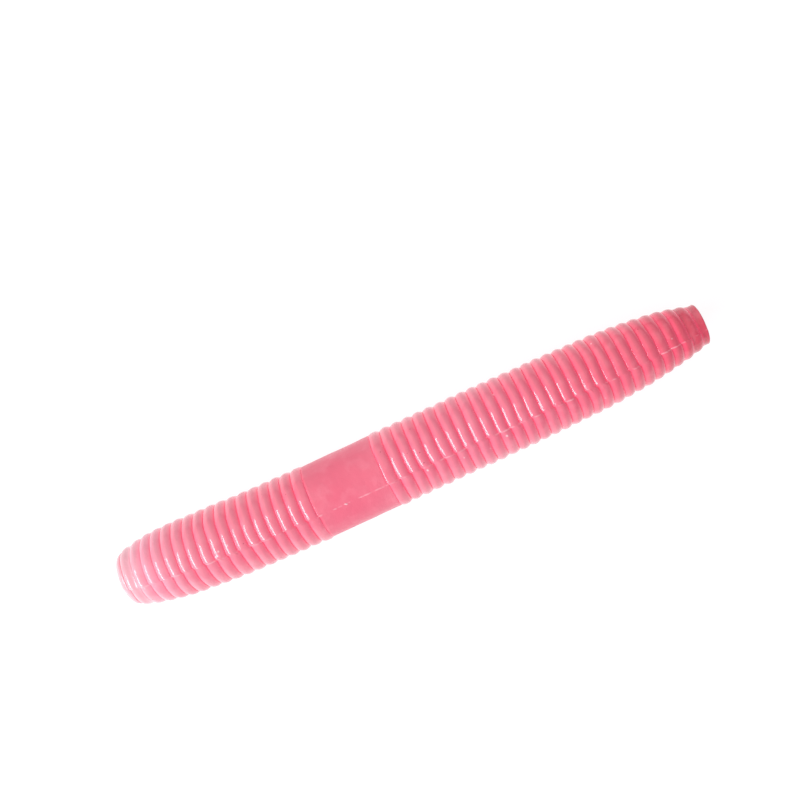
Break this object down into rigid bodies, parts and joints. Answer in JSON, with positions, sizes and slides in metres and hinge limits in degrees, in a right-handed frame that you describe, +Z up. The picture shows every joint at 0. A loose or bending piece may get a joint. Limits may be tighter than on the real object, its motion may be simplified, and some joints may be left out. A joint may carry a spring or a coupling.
{
  "type": "soft plastic worm",
  "caption": "Straight round soft plastic bait with ring ribs, a smooth middle band, a blunt nose and a tapered tail cut off flat.",
  "frame": {"origin": "on the surface the worm lies on, under the middle of its length", "axes": "+X along the worm from nose to tail, +Z up, +Y to the worm's far side"},
  "size_m": [0.0752, 0.0094, 0.0094],
  "materials": {
    "nose_plastic": "satin",
    "head_plastic": "satin",
    "band_plastic": "satin",
    "tail_plastic": "satin"
  },
  "bodies": {
    "middle": {"head_rib_17": "head_plastic", "smooth_band": "band_plastic", "tail_rib_01": "tail_plastic"},
    "head_link_01": {"head_rib_15": "head_plastic", "head_rib_16": "head_plastic"},
    "head_link_02": {"head_rib_13": "head_plastic", "head_rib_14": "head_plastic"},
    "head_link_03": {"head_rib_11": "head_plastic", "head_rib_12": "head_plastic"},
    "head_link_04": {"head_rib_09": "head_plastic", "head_rib_10": "head_plastic"},
    "head_link_05": {"head_rib_07": "head_plastic", "head_rib_08": "head_plastic"},
    "head_link_06": {"head_rib_05": "head_plastic", "head_rib_06": "head_plastic"},
    "head_link_07": {"head_rib_03": "head_plastic", "head_rib_04": "head_plastic"},
    "head_link_08": {"nose": "nose_plastic", "head_rib_01": "head_plastic", "head_rib_02": "head_plastic"},
    "tail_link_01": {"tail_rib_02": "tail_plastic", "tail_rib_03": "tail_plastic"},
    "tail_link_02": {"tail_rib_04": "tail_plastic", "tail_rib_05": "tail_plastic"},
    "tail_link_03": {"tail_rib_06": "tail_plastic", "tail_rib_07": "tail_plastic"},
    "tail_link_04": {"tail_rib_08": "tail_plastic", "tail_rib_09": "tail_plastic"},
    "tail_link_05": {"tail_rib_10": "tail_plastic", "tail_rib_11": "tail_plastic"},
    "tail_link_06": {"tail_rib_12": "tail_plastic", "tail_rib_13": "tail_plastic"},
    "tail_link_07": {"tail_rib_14": "tail_plastic", "tail_rib_15": "tail_plastic"},
    "tail_link_08": {"tail_rib_16": "tail_plastic", "tail_rib_17": "tail_plastic"},
    "tail_link_09": {"tail_rib_18": "tail_plastic", "tail_rib_19": "tail_plastic"},
    "tail_link_10": {"tail_rib_20": "tail_plastic", "tail_rib_21": "tail_plastic"},
    "tail_link_11": {"tail_rib_22": "tail_plastic", "tail_rib_23": "tail_plastic"},
    "tail_link_12": {"tail_rib_24": "tail_plastic", "tail_rib_25": "tail_plastic"},
    "tail_link_13": {"tail_rib_26": "tail_plastic", "tail_rib_27": "tail_plastic"},
    "tail_link_14": {"tail_rib_28": "tail_plastic", "tail_rib_29": "tail_plastic", "tail_tip": "tail_plastic"}
  },
  "joints": [
    {"name": "head_swing_01", "type": "hinge", "parent": "middle", "child": "head_link_01", "pos_m": [-0.01389, 0, 0.00472], "axis": [0, 0, -1], "range_deg": [-10, 10], "stiffness_Nm_per_rad": 0.0081},
    {"name": "head_lift_02", "type": "hinge", "parent": "head_link_01", "child": "head_link_02", "pos_m": [-0.01675, 0, 0.00472], "axis": [0, 1, 0], "range_deg": [-10, 10], "stiffness_Nm_per_rad": 0.0081},
    {"name": "head_swing_03", "type": "hinge", "parent": "head_link_02", "child": "head_link_03", "pos_m": [-0.01961, 0, 0.00472], "axis": [0, 0, -1], "range_deg": [-10, 10], "stiffness_Nm_per_rad": 0.0081},
    {"name": "head_lift_04", "type": "hinge", "parent": "head_link_03", "child": "head_link_04", "pos_m": [-0.02247, 0, 0.00472], "axis": [0, 1, 0], "range_deg": [-10, 10], "stiffness_Nm_per_rad": 0.008},
    {"name": "head_swing_05", "type": "hinge", "parent": "head_link_04", "child": "head_link_05", "pos_m": [-0.02533, 0, 0.00472], "axis": [0, 0, -1], "range_deg": [-10, 10], "stiffness_Nm_per_rad": 0.0079},
    {"name": "head_lift_06", "type": "hinge", "parent": "head_link_05", "child": "head_link_06", "pos_m": [-0.02819, 0, 0.00472], "axis": [0, 1, 0], "range_deg": [-10, 10], "stiffness_Nm_per_rad": 0.0076},
    {"name": "head_swing_07", "type": "hinge", "parent": "head_link_06", "child": "head_link_07", "pos_m": [-0.031, 0, 0.00472], "axis": [0, 0, -1], "range_deg": [-10, 10], "stiffness_Nm_per_rad": 0.0069},
    {"name": "head_lift_08", "type": "hinge", "parent": "head_link_07", "child": "head_link_08", "pos_m": [-0.03374, 0, 0.00472], "axis": [0, 1, 0], "range_deg": [-10, 10], "stiffness_Nm_per_rad": 0.0052},
    {"name": "tail_swing_01", "type": "hinge", "parent": "middle", "child": "tail_link_01", "pos_m": [-0.00226, 0, 0.00472], "axis": [0, 0, 1], "range_deg": [-10, 10], "stiffness_Nm_per_rad": 0.008},
    {"name": "tail_lift_02", "type": "hinge", "parent": "tail_link_01", "child": "tail_link_02", "pos_m": [0.00055, 0, 0.00472], "axis": [0, -1, 0], "range_deg": [-10, 10], "stiffness_Nm_per_rad": 0.008},
    {"name": "tail_swing_03", "type": "hinge", "parent": "tail_link_02", "child": "tail_link_03", "pos_m": [0.00335, 0, 0.00472], "axis": [0, 0, 1], "range_deg": [-10, 10], "stiffness_Nm_per_rad": 0.008},
    {"name": "tail_lift_04", "type": "hinge", "parent": "tail_link_03", "child": "tail_link_04", "pos_m": [0.00615, 0, 0.00472], "axis": [0, -1, 0], "range_deg": [-10, 10], "stiffness_Nm_per_rad": 0.0079},
    {"name": "tail_swing_05", "type": "hinge", "parent": "tail_link_04", "child": "tail_link_05", "pos_m": [0.00896, 0, 0.00472], "axis": [0, 0, 1], "range_deg": [-10, 10], "stiffness_Nm_per_rad": 0.0079},
    {"name": "tail_lift_06", "type": "hinge", "parent": "tail_link_05", "child": "tail_link_06", "pos_m": [0.01176, 0, 0.00472], "axis": [0, -1, 0], "range_deg": [-10, 10], "stiffness_Nm_per_rad": 0.0078},
    {"name": "tail_swing_07", "type": "hinge", "parent": "tail_link_06", "child": "tail_link_07", "pos_m": [0.01457, 0, 0.00472], "axis": [0, 0, 1], "range_deg": [-10, 10], "stiffness_Nm_per_rad": 0.0076},
    {"name": "tail_lift_08", "type": "hinge", "parent": "tail_link_07", "child": "tail_link_08", "pos_m": [0.01737, 0, 0.00472], "axis": [0, -1, 0], "range_deg": [-10, 10], "stiffness_Nm_per_rad": 0.0073},
    {"name": "tail_swing_09", "type": "hinge", "parent": "tail_link_08", "child": "tail_link_09", "pos_m": [0.02017, 0, 0.00472], "axis": [0, 0, 1], "range_deg": [-10, 10], "stiffness_Nm_per_rad": 0.0069},
    {"name": "tail_lift_10", "type": "hinge", "parent": "tail_link_09", "child": "tail_link_10", "pos_m": [0.02298, 0, 0.00472], "axis": [0, -1, 0], "range_deg": [-10, 10], "stiffness_Nm_per_rad": 0.0064},
    {"name": "tail_swing_11", "type": "hinge", "parent": "tail_link_10", "child": "tail_link_11", "pos_m": [0.02578, 0, 0.00472], "axis": [0, 0, 1], "range_deg": [-10, 10], "stiffness_Nm_per_rad": 0.0056},
    {"name": "tail_lift_12", "type": "hinge", "parent": "tail_link_11", "child": "tail_link_12", "pos_m": [0.02855, 0, 0.00472], "axis": [0, -1, 0], "range_deg": [-10, 10], "stiffness_Nm_per_rad": 0.0045},
    {"name": "tail_swing_13", "type": "hinge", "parent": "tail_link_12", "child": "tail_link_13", "pos_m": [0.03127, 0, 0.00472], "axis": [0, 0, 1], "range_deg": [-10, 10], "stiffness_Nm_per_rad": 0.0032},
    {"name": "tail_lift_14", "type": "hinge", "parent": "tail_link_13", "child": "tail_link_14", "pos_m": [0.03393, 0, 0.00472], "axis": [0, -1, 0], "range_deg": [-10, 10], "stiffness_Nm_per_rad": 0.0018}
  ],
  "couplings": [
    {"joint": "head_swing_03", "follows": "head_swing_01", "ratio": 1},
    {"joint": "head_lift_04", "follows": "head_lift_02", "ratio": 1},
    {"joint": "head_swing_05", "follows": "head_swing_01", "ratio": 1},
    {"joint": "head_lift_06", "follows": "head_lift_02", "ratio": 1},
    {"joint": "head_swing_07", "follows": "head_swing_01", "ratio": 1},
    {"joint": "head_lift_08", "follows": "head_lift_02", "ratio": 1},
    {"joint": "tail_swing_03", "follows": "tail_swing_01", "ratio": 1},
    {"joint": "tail_lift_04", "follows": "tail_lift_02", "ratio": 1},
    {"joint": "tail_swing_05", "follows": "tail_swing_01", "ratio": 1},
    {"joint": "tail_lift_06", "follows": "tail_lift_02", "ratio": 1},
    {"joint": "tail_swing_07", "follows": "tail_swing_01", "ratio": 1},
    {"joint": "tail_lift_08", "follows": "tail_lift_02", "ratio": 1},
    {"joint": "tail_swing_09", "follows": "tail_swing_01", "ratio": 1},
    {"joint": "tail_lift_10", "follows": "tail_lift_02", "ratio": 1},
    {"joint": "tail_swing_11", "follows": "tail_swing_01", "ratio": 1},
    {"joint": "tail_lift_12", "follows": "tail_lift_02", "ratio": 1},
    {"joint": "tail_swing_13", "follows": "tail_swing_01", "ratio": 1},
    {"joint": "tail_lift_14", "follows": "tail_lift_02", "ratio": 1}
  ]
}
